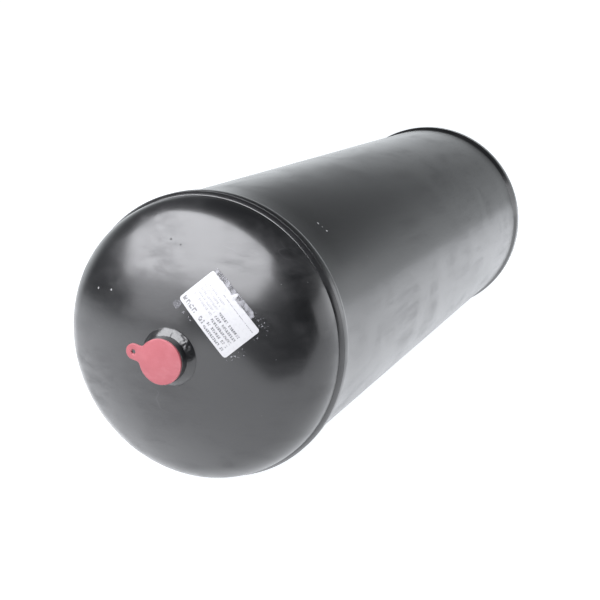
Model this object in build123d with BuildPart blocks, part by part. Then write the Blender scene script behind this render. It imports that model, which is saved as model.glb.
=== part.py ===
from build123d import *
import os
from math import asin, cos, degrees, radians, sin, sqrt

# A 20 litre steel air tank, lying on its side. The tank's axis is X, its front end is at -X, +Z is up
# and the origin is the middle of the tank. All sizes are in millimetres.

# Driving dimensions: the rolled shell
tank_diameter = 206.0  # outside, between the raised end rings
wall = 2.5
tank_length = 575.0  # over the shell's two end faces
ring_length = 8.0  # the widened end of the shell, straight part
joggle_length = 6.0  # the slope down from the widened end
joggle_round = 2.0  # rounding of the bends at both ends of the slope
lap_clearance = 0.1  # between the head's skirt and the widened end

# Driving dimensions: the pressed heads, with a crown arc and a knuckle arc
crown_ratio = 0.8  # inside crown radius over the tank's diameter
knuckle_ratio = 0.154  # inside knuckle radius over the tank's diameter
flange_length = 4.0  # straight part of the head outside the shell
skirt_length = 7.5  # straight part of the head inside the shell

# Driving dimensions: the bosses for M22 x 1.5 fittings, bored at the thread's minor radius
boss_radius = 16.0
boss_length = 18.5
boss_height = 9.8  # the boss stands this far above the metal on its axis
boss_chamfer = 0.8
hole_clearance = 0.1  # between a boss and its hole in the tank
thread_radius = 11.0
thread_pitch = 1.5
thread_depth_ratio = 0.5413  # depth of a metric thread's inside form, over its pitch
lead_in_radius = 11.3
lead_in_depth = 6.0
mouth_chamfer = 0.6
drain_angle = 34.5  # the drain boss leans this far from straight down, towards +Y

# Driving dimensions: the welds
head_weld_run = 3.9  # along the head's flange
head_weld_rise = 2.4  # up the shell's end face
head_weld_round = 11.7  # radius of the bead's face
boss_weld_leg = 3.3
seam_width = 4.0
seam_height = 0.7
seam_root = 0.5  # the shell's curve cuts this much from the bottom of the bead
seam_end_gap = 1.0  # between the bead's end and the joggle
seam_angle = -25.0  # from +Y, turning towards +Z

# Driving dimensions: the plastic port caps
cap_radius = 15.9
cap_thickness = 2.0
cap_gap = 0.05  # between the cap's disc and the boss
spigot_radius = 11.0
spigot_wall = 1.3
spigot_length = 5.5
tab_reach = 20.6  # from the cap's centre to the tab's eye
tab_radius = 5.6
tab_eye_radius = 1.5
tab_fillet = 3.0
cap_edge_round = 0.4
cap_travel = 50.0  # how far a cap is drawn off its boss
front_tab_angle = 165.6
rear_tab_angle = 60.0
drain_tab_angle = 0.0

# Driving dimensions: the data label and the clear film that shows beyond its upper edge
label_width = 51.0
label_height = 30.5
label_corner = 2.2
label_thickness = 0.2
label_right = 34.9  # label's centre, to the right of the tank's axis in a front view
label_up = 31.7  # label's centre, above the tank's axis
label_turn = -49.5
film_thickness = 0.12
stuck_gap = 0.01  # glue line under the label and the film

# Worked out from the driving dimensions
half_length = tank_length / 2
outer_radius = tank_diameter / 2
inner_radius = outer_radius - wall
ring_inner_radius = outer_radius + lap_clearance
ring_radius = ring_inner_radius + wall
crown_inner = crown_ratio * tank_diameter
knuckle_inner = knuckle_ratio * tank_diameter
crown_outer = crown_inner + wall
knuckle_outer = knuckle_inner + wall
knuckle_centre = inner_radius - knuckle_inner
crown_sweep = degrees(asin(knuckle_centre / (crown_inner - knuckle_inner)))
knuckle_sweep = 90.0 - crown_sweep
crown_centre = flange_length - (crown_inner - knuckle_inner) * cos(radians(crown_sweep))
apex = crown_centre + crown_outer  # the dome's outermost point, from the shell's end face
thread_minor_radius = thread_radius - thread_depth_ratio * thread_pitch
thread_start = lead_in_depth + lead_in_radius - thread_minor_radius  # below the boss's face


def end_plane(side):
    """The shell's end face: local Z points out of the tank and local Y is up."""
    return Plane(origin=(side * half_length, 0, 0), x_dir=(0, side, 0), z_dir=(side, 0, 0))


def section_of(port):
    """A plane through a port's axis: local X runs out along the axis and local Y is the radius."""
    return Plane(origin=port.origin, x_dir=port.z_dir, z_dir=port.x_dir)


front_end = end_plane(-1)
rear_end = end_plane(1)
front_port = front_end.offset(apex + boss_height)
rear_port = rear_end.offset(apex + boss_height)
drain_direction = Vector(0, sin(radians(drain_angle)), -cos(radians(drain_angle)))
drain_port = Plane(
    origin=drain_direction * (outer_radius + boss_height), x_dir=(1, 0, 0), z_dir=drain_direction
)

os.makedirs("parts", exist_ok=True)


def keep(piece, name):
    """Label a finished piece and write its STEP file."""
    piece.part.label = name
    export_step(piece.part, f"parts/{name}.step")
    print(f"{name:18} {piece.part.volume:11.1f} mm3")


# The shell: a rolled tube whose two ends are widened to take the heads
ring_start = half_length - ring_length
joggle_start = ring_start - joggle_length

with BuildPart() as shell:
    with BuildSketch(Plane.XZ):
        with BuildLine():
            Polyline(
                (-half_length, ring_radius),
                (-ring_start, ring_radius),
                (-joggle_start, outer_radius),
                (joggle_start, outer_radius),
                (ring_start, ring_radius),
                (half_length, ring_radius),
                (half_length, ring_inner_radius),
                (ring_start, ring_inner_radius),
                (joggle_start, inner_radius),
                (-joggle_start, inner_radius),
                (-ring_start, ring_inner_radius),
                (-half_length, ring_inner_radius),
                close=True,
            )
        make_face()
    revolve(axis=Axis.X)
    circles = shell.edges().filter_by(GeomType.CIRCLE)
    bends = circles.filter_by(lambda edge: abs(edge.arc_center.X) < half_length - ring_length / 2)
    fillet(bends, radius=joggle_round)
    with BuildSketch(drain_port):
        Circle(boss_radius + hole_clearance)
    extrude(amount=-2 * boss_length, mode=Mode.SUBTRACT)
keep(shell, "shell")


# The heads: each is one pressing with a skirt, a knuckle and a crown, and a hole for its boss
def dome_line(crown, knuckle, start):
    """The skirt, knuckle and crown of a dome, from the skirt's edge at start to the axis."""
    skirt = Line((start, knuckle_centre + knuckle), (flange_length, knuckle_centre + knuckle))
    bend = JernArc(start=skirt @ 1, tangent=skirt % 1, radius=knuckle, arc_size=-knuckle_sweep)
    return JernArc(start=bend @ 1, tangent=bend % 1, radius=crown, arc_size=-crown_sweep)


def make_head(end):
    """A pressed head on one end of the shell, with the hole for its boss."""
    with BuildPart() as head:
        with BuildSketch(section_of(end)):
            with BuildLine():
                outside = dome_line(crown_outer, knuckle_outer, -skirt_length)
                inside = dome_line(crown_inner, knuckle_inner, -skirt_length)
                Line(outside @ 1, inside @ 1)
                Line((-skirt_length, outer_radius), (-skirt_length, inner_radius))
            make_face()
        revolve(axis=Axis(end.origin, end.z_dir))
        with BuildSketch(end):
            Circle(boss_radius + hole_clearance)
        extrude(amount=2 * apex, mode=Mode.SUBTRACT)
    return head


keep(make_head(front_end), "front_head")
keep(make_head(rear_end), "rear_head")


# The weld round each head, in the corner between the shell's end face and the head's flange
def make_head_weld(end):
    """A ring of weld with a slightly rounded face."""
    with BuildPart() as weld:
        with BuildSketch(section_of(end)):
            with BuildLine():
                toe = (head_weld_run, outer_radius)
                top = (0, outer_radius + head_weld_rise)
                Polyline(toe, (0, outer_radius), top)
                RadiusArc(top, toe, radius=head_weld_round)
            make_face()
        revolve(axis=Axis(end.origin, end.z_dir))
    return weld


keep(make_head_weld(front_end), "front_head_weld")
keep(make_head_weld(rear_end), "rear_head_weld")


# The shell's lengthwise seam weld: a low bead, rounded over the top
bead_rise = seam_height + seam_root
seam_length = 2 * (joggle_start - seam_end_gap)
seam_direction = Vector(0, cos(radians(seam_angle)), sin(radians(seam_angle)))
seam_plane = Plane(
    origin=seam_direction * (outer_radius - seam_root) + Vector(-seam_length / 2, 0, 0),
    x_dir=Vector(1, 0, 0).cross(seam_direction),
    z_dir=(1, 0, 0),
)

with BuildPart() as shell_seam_weld:
    with BuildSketch(seam_plane):
        with BuildLine():
            ThreePointArc((-seam_width / 2, 0), (0, -bead_rise), (seam_width / 2, 0))
            Line((seam_width / 2, 0), (-seam_width / 2, 0))
        make_face()
    extrude(amount=seam_length)
    with BuildSketch(Plane.YZ):
        Circle(outer_radius)
    extrude(amount=half_length, both=True, mode=Mode.SUBTRACT)
keep(shell_seam_weld, "shell_seam_weld")


# The bosses: turned steel sockets, with a plain lead-in above the bore for the thread
def make_boss(port):
    """A socket whose outer face lies on the port's plane."""
    with BuildPart() as boss:
        with BuildSketch(section_of(port)):
            with BuildLine():
                Polyline(
                    (-boss_length, thread_minor_radius),
                    (-boss_length, boss_radius),
                    (-boss_chamfer, boss_radius),
                    (0, boss_radius - boss_chamfer),
                    (0, lead_in_radius + mouth_chamfer),
                    (-mouth_chamfer, lead_in_radius),
                    (-lead_in_depth, lead_in_radius),
                    (-thread_start, thread_minor_radius),
                    close=True,
                )
            make_face()
        revolve(axis=Axis(port.origin, port.z_dir))
    return boss


keep(make_boss(front_port), "front_port_boss")
keep(make_boss(rear_port), "rear_port_boss")
keep(make_boss(drain_port), "drain_port_boss")


# The fillet weld round each boss: a 45 degree ring, cut to the metal that it sits on
def make_boss_weld(port, metal):
    """A weld round a boss, trimmed by the solid form of the metal under it."""
    root = -boss_height - boss_weld_leg
    with BuildPart() as weld:
        with BuildSketch(section_of(port)):
            with BuildLine():
                Polyline(
                    (root + 2 * boss_weld_leg, boss_radius),
                    (root, boss_radius + 2 * boss_weld_leg),
                    (root, boss_radius),
                    close=True,
                )
            make_face()
        revolve(axis=Axis(port.origin, port.z_dir))
        add(metal, mode=Mode.SUBTRACT)
    return weld


def crown_ball(end):
    """A ball that fills the round of a head's crown, with its seam on the side away from the boss."""
    centre = end.offset(crown_centre).origin
    return Plane(origin=centre, x_dir=-end.z_dir, z_dir=(0, 0, 1)) * Sphere(crown_outer)


shell_bar = Rotation(0, 90, 0) * Cylinder(outer_radius, tank_length)
keep(make_boss_weld(front_port, crown_ball(front_end)), "front_boss_weld")
keep(make_boss_weld(rear_port, crown_ball(rear_end)), "rear_boss_weld")
keep(make_boss_weld(drain_port, shell_bar), "drain_boss_weld")


# The port caps: a thin disc with a pull tab, and a hollow spigot that plugs the boss's lead-in
def make_cap(port, tab_angle):
    """A cap on its boss, with its pull tab turned to tab_angle about the port."""
    seat = Plane(port.offset(cap_gap).location * Rotation(0, 0, tab_angle))  # local X follows the tab
    with BuildPart() as cap:
        with BuildSketch(seat) as disc:
            Circle(cap_radius)
            with Locations((tab_reach / 2, 0)):
                Rectangle(tab_reach, 2 * tab_radius)
            with Locations((tab_reach, 0)):
                Circle(tab_radius)
            necks = disc.vertices().sort_by(Axis.X)[:2]
            fillet(necks, radius=tab_fillet)
            with Locations((tab_reach, 0)):
                Circle(tab_eye_radius, mode=Mode.SUBTRACT)
        extrude(amount=cap_thickness)
        with BuildSketch(seat):
            Circle(spigot_radius)
            Circle(spigot_radius - spigot_wall, mode=Mode.SUBTRACT)
        extrude(amount=-spigot_length)
        front_face = cap.faces().sort_by(Axis(seat.origin, seat.z_dir))[-1]
        fillet(front_face.outer_wire().edges(), radius=cap_edge_round)
    return cap


keep(make_cap(front_port, front_tab_angle), "front_port_cap")
keep(make_cap(rear_port, rear_tab_angle), "rear_port_cap")
keep(make_cap(drain_port, drain_tab_angle), "drain_port_cap")


# The data label and the clear film over its upper edge: thin layers that follow the dome
label_radius = sqrt(label_right**2 + label_up**2)
label_lean = degrees(asin(label_radius / crown_outer))
crown_middle = front_end.offset(crown_centre).origin
label_direction = (front_end.x_dir * label_right + front_end.y_dir * label_up) / label_radius
label_normal = front_end.z_dir * cos(radians(label_lean)) + label_direction * sin(radians(label_lean))
reading_direction = (
    front_end.x_dir * cos(radians(label_turn)) + front_end.y_dir * sin(radians(label_turn))
)
label_plane = Plane(
    origin=crown_middle + label_normal * crown_outer,
    x_dir=reading_direction - label_normal * reading_direction.dot(label_normal),
    z_dir=label_normal,
)


def make_sticker(outline, thickness):
    """A skin over the front dome, trimmed to an outline drawn on the label's plane."""
    top = stuck_gap + thickness
    with BuildPart() as sticker:
        with BuildSketch(section_of(front_end)):
            with BuildLine():
                outside = dome_line(crown_outer + top, knuckle_outer + top, 0)
                inside = dome_line(crown_outer + stuck_gap, knuckle_outer + stuck_gap, 0)
                Line(outside @ 1, inside @ 1)
                Line((0, outer_radius + top), (0, outer_radius + stuck_gap))
            make_face()
        revolve(axis=Axis(front_end.origin, front_end.z_dir))
        extrude(outline.sketch, amount=boss_height, both=True, mode=Mode.INTERSECT)
    return sticker


with BuildSketch(label_plane) as label_outline:
    RectangleRounded(label_width, label_height, label_corner)
keep(make_sticker(label_outline, label_thickness), "data_label")

# The film's outline: each corner is a share of the label's width along it, then the height above its edge
upper_edge = label_height / 2 + stuck_gap
film_corners = [(-0.44, 0), (-0.47, 2.3), (-0.06, 3.8), (0.23, 4.3), (0.31, 0)]
with BuildSketch(label_plane) as film_outline:
    with BuildLine():
        Polyline([(share * label_width, upper_edge + rise) for share, rise in film_corners], close=True)
    make_face()
keep(make_sticker(film_outline, film_thickness), "label_film")
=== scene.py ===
# %% [markdown]
# # A steel air tank, painted black
# The object is a 20 litre compressed-air tank, about 70 cm long. A rolled shell is closed by two
# pressed domes, three threaded sockets are welded on, and a red plastic cap keeps dirt out of each.
# The measured CAD model is loaded as a fixed frame. Every visible piece is then modelled around
# it in metres, in the same place, so nothing has to be fitted afterwards.

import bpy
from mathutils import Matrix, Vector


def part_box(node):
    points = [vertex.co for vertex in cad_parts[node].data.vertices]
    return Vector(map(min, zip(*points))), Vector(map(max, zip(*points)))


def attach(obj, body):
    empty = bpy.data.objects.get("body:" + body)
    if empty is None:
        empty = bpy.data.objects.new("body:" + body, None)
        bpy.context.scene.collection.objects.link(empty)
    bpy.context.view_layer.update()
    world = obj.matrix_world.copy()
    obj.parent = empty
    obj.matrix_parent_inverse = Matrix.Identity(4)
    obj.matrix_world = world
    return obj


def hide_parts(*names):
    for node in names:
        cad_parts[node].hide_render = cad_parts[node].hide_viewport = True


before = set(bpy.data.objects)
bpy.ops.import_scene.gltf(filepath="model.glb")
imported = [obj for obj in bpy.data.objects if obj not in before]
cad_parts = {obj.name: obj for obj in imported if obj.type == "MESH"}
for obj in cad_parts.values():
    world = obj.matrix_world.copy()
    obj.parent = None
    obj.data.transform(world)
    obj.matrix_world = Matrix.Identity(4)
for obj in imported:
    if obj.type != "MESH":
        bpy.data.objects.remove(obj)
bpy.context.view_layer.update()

# %% [markdown]
# Blender's own modules and a few of Python's are all that the lesson needs.

# %% Tools of the lesson
import math
import random
from math import atan2, cos, hypot, pi, radians, sin, sqrt

import bmesh
import bpy
from mathutils import Matrix, Vector, noise

# %% [markdown]
# ## The maker's sizes
# A drawing of the tank would give these sizes. The ones that the frame can tell are read from it,
# and the rest repeat the drawing, in metres.

# %% Sizes
half_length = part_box("shell")[1].x  # the shell's end face
ring_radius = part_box("shell")[1].z  # the widened end of the shell
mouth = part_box("rear_port_boss")[1].x  # the face of the rear socket
wall = 0.0025
tank_radius = 0.103
ring_length = 0.008
joggle_length = 0.006
crown_radius = 0.1673  # the big arc of a dome, outside
knuckle_radius = 0.034224  # the tight arc at a dome's edge, outside
flange_length = 0.004
skirt_length = 0.0075
socket_radius = 0.016
socket_length = 0.0185
socket_height = 0.0098  # a socket stands this far above the metal
hole_radius = 0.0161
print(f"shell {2000 * half_length:.0f} mm long, rings {2000 * ring_radius:.1f} mm across")

# %% [markdown]
# ## The camera
# A product picture of a long tank is taken with a lens a little longer than normal, low and from
# the front corner, so that the dome is large and the shell runs away behind it.

# %% Camera
camera_data = bpy.data.cameras.new("camera")
camera_data.lens = 68.8
camera_data.sensor_width = 36.0
camera_data.clip_start = 0.01
camera_data.clip_end = 50.0
camera = bpy.data.objects.new("camera", camera_data)
bpy.context.scene.collection.objects.link(camera)
camera.location = (-0.99871, -0.36320, 0.21593)
look = Vector((0.90071, 0.36814, -0.23063))
camera.rotation_mode = "QUATERNION"
camera.rotation_quaternion = look.to_track_quat("-Z", "Y")
bpy.context.scene.camera = camera
print("camera is", round(camera.location.length, 3), "m from the tank's middle")

# %% [markdown]
# ## The studio
# Black gloss paint shows almost nothing of itself: what you see on it is the room. So the room is
# made first. One large softbox hangs over the front end, a small panel stands low at the left and
# a weak one at the right, the floor is pale paper, and the rest of the room is dark.

# %% Node helpers
def node(tree, kind, **settings):
    """Add a shader node and give it its settings."""
    made = tree.nodes.new("ShaderNode" + kind)
    for name, value in settings.items():
        setattr(made, name, value)
    return made


def wire(tree, source, target):
    """Join an output to an input, or set the input to a plain value."""
    if isinstance(source, bpy.types.NodeSocket):
        tree.links.new(source, target)
    else:
        target.default_value = source


def feed(tree, made, **inputs):
    """Wire or set a node's inputs by their names, with _ for a space."""
    for title, value in inputs.items():
        wire(tree, value, made.inputs[title.replace("_", " ")])


def maths(tree, operation, *values, clamp=False):
    """A Math node on values or sockets, and its result."""
    made = node(tree, "Math", operation=operation, use_clamp=clamp)
    for value, socket in zip(values, made.inputs):
        wire(tree, value, socket)
    return made.outputs[0]


def times(tree, first, second):
    """One value or socket times another."""
    return maths(tree, "MULTIPLY", first, second)


def grade(tree, value, low, high, start=0.0, end=1.0):
    """Turn the range low to high into start to end, with a soft beginning and end."""
    made = node(tree, "MapRange", interpolation_type="SMOOTHSTEP")
    for number, socket in zip((value, low, high, start, end), made.inputs):
        wire(tree, number, socket)
    return made.outputs[0]


def blend_colours(tree, amount, first, second):
    """One colour over another, by an amount from 0 to 1."""
    made = node(tree, "Mix", data_type="RGBA")
    for value, index in ((amount, 0), (first, 6), (second, 7)):
        wire(tree, value, made.inputs[index])
    return made.outputs[2]


def split(tree, vector):
    """The X, Y and Z of a vector."""
    made = node(tree, "SeparateXYZ")
    feed(tree, made, Vector=vector)
    return made.outputs


print("node helpers are ready")

# %% [markdown]
# The world is white for the camera, as a paper sweep would be, but dark for the paint, with a
# little light near the horizon. A Light Path node tells the two apart.

# %% World
burnt_out = 1.05  # bright enough to come out white
room_light = 0.06
world = bpy.data.worlds.new("studio_room")
bpy.context.scene.world = world
world.use_nodes = True
room = world.node_tree
room.nodes.clear()
direction = node(room, "TexCoord").outputs["Generated"]
parts = split(room, direction)
near_floor = grade(room, parts["Z"], 0.02, 0.47, 1.0, 0.0)
behind_tank = grade(room, parts["X"], -0.1, 0.4)
leftwards = grade(room, parts["Y"], -0.15, 0.15, 0.42, 1.0)
glow = times(room, times(room, near_floor, behind_tank), leftwards)
dark_room = node(room, "Background")
feed(room, dark_room, Color=(0.93, 0.97, 1.0, 1.0), Strength=maths(room, "ADD", glow, room_light))
white_sweep = node(room, "Background")
feed(room, white_sweep, Color=(1.0, 1.0, 1.0, 1.0), Strength=burnt_out)
which = node(room, "MixShader")
wire(room, node(room, "LightPath").outputs["Is Camera Ray"], which.inputs[0])
wire(room, dark_room.outputs[0], which.inputs[1])
wire(room, white_sweep.outputs[0], which.inputs[2])
wire(room, which.outputs[0], node(room, "OutputWorld").inputs[0])
bpy.context.scene.view_settings.view_transform = "Standard"
print("the room is dark, and white for the camera")

# %% [markdown]
# Each lamp is given the brightness of its face, which stays the same when its size changes: an
# area light's power is that brightness times pi times its area.

# %% Lights
lamp_tint = (0.955, 0.96, 1.0)
dome_middle = (-0.32, 0.0, 0.03)


def soft_light(name, place, target, width, depth, brightness):
    """An area light at a place, facing a target, whose face has a given brightness."""
    data = bpy.data.lights.new(name, "AREA")
    data.shape = "RECTANGLE"
    data.size = width
    data.size_y = depth
    data.energy = brightness * pi * width * depth
    data.color = lamp_tint
    lamp = bpy.data.objects.new(name, data)
    bpy.context.scene.collection.objects.link(lamp)
    lamp.location = place
    facing = Vector(target) - Vector(place)
    lamp.rotation_euler = facing.to_track_quat("-Z", "Y").to_euler()
    print(name, "power", round(data.energy, 1), "W")


soft_light("key_softbox", (-1.020, 0.259, 0.911), dome_middle, 2.1, 1.4, 7.2)
soft_light("low_panel", (-1.375, 0.738, 0.211), dome_middle, 0.75, 0.36, 2.2)
soft_light("side_panel", (0.45, -1.15, 0.20), (0.0, 0.0, 0.0), 1.7, 0.5, 1.3)

# %% [markdown]
# The paper floor glows, so that it burns out to white, which is how such pictures are taken. It
# glows a little more for the camera than for the paint, which a Light Path node tells apart.

# %% Floor
def new_finish(name):
    """A material with one Principled shader: itself, its tree, the shader and Object coordinates."""
    material = bpy.data.materials.new(name)
    material.use_nodes = True
    tree = material.node_tree
    tree.nodes.clear()
    shader = node(tree, "BsdfPrincipled")
    wire(tree, shader.outputs[0], node(tree, "OutputMaterial").inputs["Surface"])
    return material, tree, shader, node(tree, "TexCoord").outputs["Object"]


def deselect():
    """Leave nothing selected, so that the next operator acts only on what is new."""
    bpy.ops.object.select_all(action="DESELECT")


def studio_sheet(name, size, place, material):
    """A flat square of the studio, which is not part of the tank."""
    deselect()
    bpy.ops.mesh.primitive_plane_add(size=size, location=place)
    sheet = bpy.context.object
    sheet.name = name
    sheet.data.materials.append(material)
    return sheet


paper, tree, matt, _ = new_finish("white_paper")
seen = node(tree, "LightPath").outputs["Is Camera Ray"]
paper_glow = blend_colours(tree, seen, (0.753, 0.777, 0.810, 1.0), (0.93, 0.96, 1.0, 1.0))
feed(tree, matt, Base_Color=(0.35, 0.35, 0.35, 1.0), Roughness=0.9)
feed(tree, matt, Emission_Color=paper_glow, Emission_Strength=burnt_out)
floor_size = 8.0
floor = studio_sheet("paper_floor", floor_size, (0, 0, -ring_radius), paper)
print("floor at", round(floor.location.z, 4))

# %% [markdown]
# In front the paper ends at a dark table, which the camera does not see but the dome reflects.

# %% Dark table
table_cloth, tree, matt, _ = new_finish("dark_cloth")
feed(tree, matt, Base_Color=(0.02, 0.02, 0.022, 1.0), Roughness=0.95)
table_size = 2.1
table_middle = (-1.55, -1.2, 0.002 - ring_radius)  # its top lies 2 mm above the paper
table = studio_sheet("dark_table", table_size, table_middle, table_cloth)
table.visible_camera = False
print("the table is", table_size, "m wide")

# %% [markdown]
# ## Effects that several finishes share
# Sprayed paint has a fine orange-peel skin, handled paint has a dull haze where it was touched,
# and any tank that has stood in a store has dust specks and hair scratches. Each effect is one
# node group with named sockets, built once and used in each finish with its own values.

# %% Group helpers
def new_group(name, inputs, outputs):
    """A shader node group: its tree, its inner inputs and its inner outputs."""
    tree = bpy.data.node_groups.new(name, "ShaderNodeTree")
    tree.interface.new_socket(name="Vector", in_out="INPUT", socket_type="NodeSocketVector")
    for title, value in inputs.items():
        socket = tree.interface.new_socket(name=title, in_out="INPUT", socket_type="NodeSocketFloat")
        socket.default_value = value
    for title in outputs:
        tree.interface.new_socket(name=title, in_out="OUTPUT", socket_type="NodeSocketFloat")
    return tree, tree.nodes.new("NodeGroupInput").outputs, tree.nodes.new("NodeGroupOutput").inputs


def use(tree, group, vector, **values):
    """Place a group in a material with its own values, and return its outputs."""
    made = node(tree, "Group", node_tree=bpy.data.node_groups[group])
    feed(tree, made, Vector=vector, **values)
    return made.outputs


def cloud(tree, vector, scale, detail=2.0, roughness=0.5, distortion=0.0):
    """A noise texture's value."""
    made = node(tree, "TexNoise")
    feed(tree, made, Vector=vector, Scale=scale, Detail=detail, Roughness=roughness, Distortion=distortion)
    return made.outputs[0]


def stretched(tree, vector, scale, turn=(0, 0, 0)):
    """Coordinates turned and then scaled by a different amount along each axis."""
    made = node(tree, "Mapping")
    feed(tree, made, Vector=vector, Rotation=turn, Scale=scale)
    return made.outputs[0]


def add_bump(tree, shader, height, strength, distance):
    """Let a height tilt the surface, as real relief of a given depth would."""
    bump = node(tree, "Bump")
    feed(tree, bump, Strength=strength, Distance=distance, Height=height)
    feed(tree, shader, Normal=bump.outputs[0])


print("group helpers are ready")

# %% [markdown]
# Orange peel is two sizes of soft noise added together, and is only a height for a bump.

# %% Orange peel
tree, given, result = new_group("orange_peel", {"Size": 0.002}, ["Height"])
scale = maths(tree, "DIVIDE", 1.0, given["Size"])
coarse = cloud(tree, given["Vector"], scale, 1.0)
fine = cloud(tree, given["Vector"], times(tree, scale, 3.1), 1.0)
fine_share = times(tree, fine, 0.3)
wire(tree, maths(tree, "ADD", coarse, fine_share), result["Height"])
print("orange peel:", len(tree.nodes), "nodes")

# %% [markdown]
# Haze lies where two noises are both strong: one in patches, one drawn out as a cloth wipes.

# %% Handling haze
tree, given, result = new_group("handling_haze", {"Size": 0.05, "Amount": 0.5}, ["Haze"])
scale = maths(tree, "DIVIDE", 1.0, given["Size"])
patches = cloud(tree, given["Vector"], scale, 4.0, 0.55, 0.6)
wiped = stretched(tree, given["Vector"], (0.35, 1.0, 2.6), (0.5, 0.2, 0.4))
streaks = cloud(tree, wiped, times(tree, scale, 1.7), 5.0, 0.6, 0.3)
both = times(tree, grade(tree, patches, 0.36, 0.68), grade(tree, streaks, 0.32, 0.68))
wire(tree, maths(tree, "MULTIPLY", both, given["Amount"], clamp=True), result["Haze"])
print("handling haze:", len(tree.nodes), "nodes")

# %% [markdown]
# A Voronoi texture gives each cell one dot. The cell's own random colour says whether the dot is
# there and how large it is.

# %% Dust specks
tree, given, result = new_group("dust_specks", {"Spacing": 0.004, "Amount": 0.2}, ["Specks"])
cells = node(tree, "TexVoronoi", feature="F1")
feed(tree, cells, Vector=given["Vector"], Scale=maths(tree, "DIVIDE", 1.0, given["Spacing"]))
lot = node(tree, "SeparateColor")
wire(tree, cells.outputs["Color"], lot.inputs[0])
size = maths(tree, "MULTIPLY_ADD", lot.outputs[1], 0.06, 0.02)
dot = grade(tree, cells.outputs["Distance"], size, times(tree, size, 0.5))
kept = maths(tree, "LESS_THAN", lot.outputs[0], given["Amount"])
wire(tree, times(tree, dot, kept), result["Specks"])
print("dust specks:", len(tree.nodes), "nodes")

# %% [markdown]
# Where a stretched noise passes through its middle value, it draws a thin wandering line, which
# makes a hair scratch. A second noise leaves the scratches only in patches.

# %% Hair scratches
tree, given, result = new_group("hair_scratches", {"Size": 0.03, "Amount": 0.3}, ["Scratches"])
scale = maths(tree, "DIVIDE", 1.0, given["Size"])
lines = None
for turn in ((0.3, 0.5, 0.2), (1.2, 0.1, 0.9)):
    drawn = stretched(tree, given["Vector"], (1.0, 0.16, 1.0), turn)
    level = cloud(tree, drawn, scale, 1.5, 0.4, 0.15)
    away = maths(tree, "ABSOLUTE", maths(tree, "SUBTRACT", level, 0.5))
    line = grade(tree, away, 0.0022, 0.0006)
    lines = line if lines is None else maths(tree, "MAXIMUM", lines, line)
where = cloud(tree, given["Vector"], times(tree, scale, 0.8), 2.0)
patch = grade(tree, where, 0.56, 0.66)
strength = times(tree, patch, given["Amount"])
wire(tree, times(tree, lines, strength), result["Scratches"])
print("hair scratches:", len(tree.nodes), "nodes")

# %% [markdown]
# ## The finishes
# The tank is sprayed after it is welded, so shell, domes, beads and sockets all wear the same
# black. What differs is the metal under it: rolled sheet is smooth, a weld bead is rough.

# %% Tank paint
ragged_edge = 0.0008  # how far a knock's edge wanders


def black_paint(name, roughness, peel, haze, specks, scratches, marks=()):
    """Semi-gloss black over steel, with a thin glossy skin where it has not been touched."""
    material, tree, shader, place = new_finish(name)
    hazy = use(tree, "handling_haze", place, Size=0.045, Amount=haze)["Haze"]
    broad = grade(tree, cloud(tree, place, 9.0, 3.0), 0.35, 0.7)
    dust = use(tree, "dust_specks", place, Spacing=0.0045, Amount=specks)["Specks"]
    grit = use(tree, "dust_specks", place, Spacing=0.0017, Amount=specks * 0.5)["Specks"]
    hairs = use(tree, "hair_scratches", place, Size=0.035, Amount=scratches)["Scratches"]
    skin = use(tree, "orange_peel", place, Size=0.0022)["Height"]
    # two blacks in broad patches, greyed by haze and lightened by dust, grit and hairs
    colour = blend_colours(tree, broad, (0.0028, 0.0030, 0.0036, 1), (0.0048, 0.0050, 0.0056, 1))
    colour = blend_colours(tree, hazy, colour, (0.022, 0.022, 0.023, 1))
    light = maths(tree, "MAXIMUM", times(tree, dust, 0.55), times(tree, grit, 0.25))
    light = maths(tree, "MAXIMUM", light, times(tree, hairs, 0.35))
    colour = blend_colours(tree, light, colour, (0.30, 0.30, 0.31, 1))
    # each mark is a spot round its own point, with a ragged edge
    ragged = node(tree, "VectorMath", operation="MULTIPLY_ADD")
    wire(tree, cloud(tree, place, 900.0, 2.0), ragged.inputs[0])
    wire(tree, (ragged_edge, ragged_edge, ragged_edge), ragged.inputs[1])
    wire(tree, place, ragged.inputs[2])
    for x, y, z, size, tone in marks:
        away = node(tree, "VectorMath", operation="DISTANCE")
        wire(tree, ragged.outputs[0], away.inputs[0])
        wire(tree, [along + ragged_edge / 2 for along in (x, y, z)], away.inputs[1])
        mark = grade(tree, away.outputs["Value"], size, size * 0.6)
        colour = blend_colours(tree, mark, colour, (tone, tone, tone, 1))
        light = maths(tree, "MAXIMUM", light, mark)
    dull = maths(tree, "ADD", times(tree, hazy, 0.10), times(tree, broad, 0.025))
    dull = maths(tree, "ADD", dull, times(tree, light, 0.3))
    feed(tree, shader, Base_Color=colour, Roughness=maths(tree, "ADD", dull, roughness), IOR=1.5)
    relief = maths(tree, "ADD", times(tree, skin, peel), times(tree, dust, 2.0))
    relief = maths(tree, "SUBTRACT", relief, times(tree, hairs, 0.7))
    add_bump(tree, shader, relief, 0.5, 0.00001)
    # the glossy skin is gone where the paint is hazy or marked
    worn = maths(tree, "MAXIMUM", times(tree, hazy, 0.7), light)
    unworn = maths(tree, "SUBTRACT", 1.0, worn, clamp=True)
    feed(tree, shader, Coat_Weight=unworn, Coat_Roughness=0.19)
    return material


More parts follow.
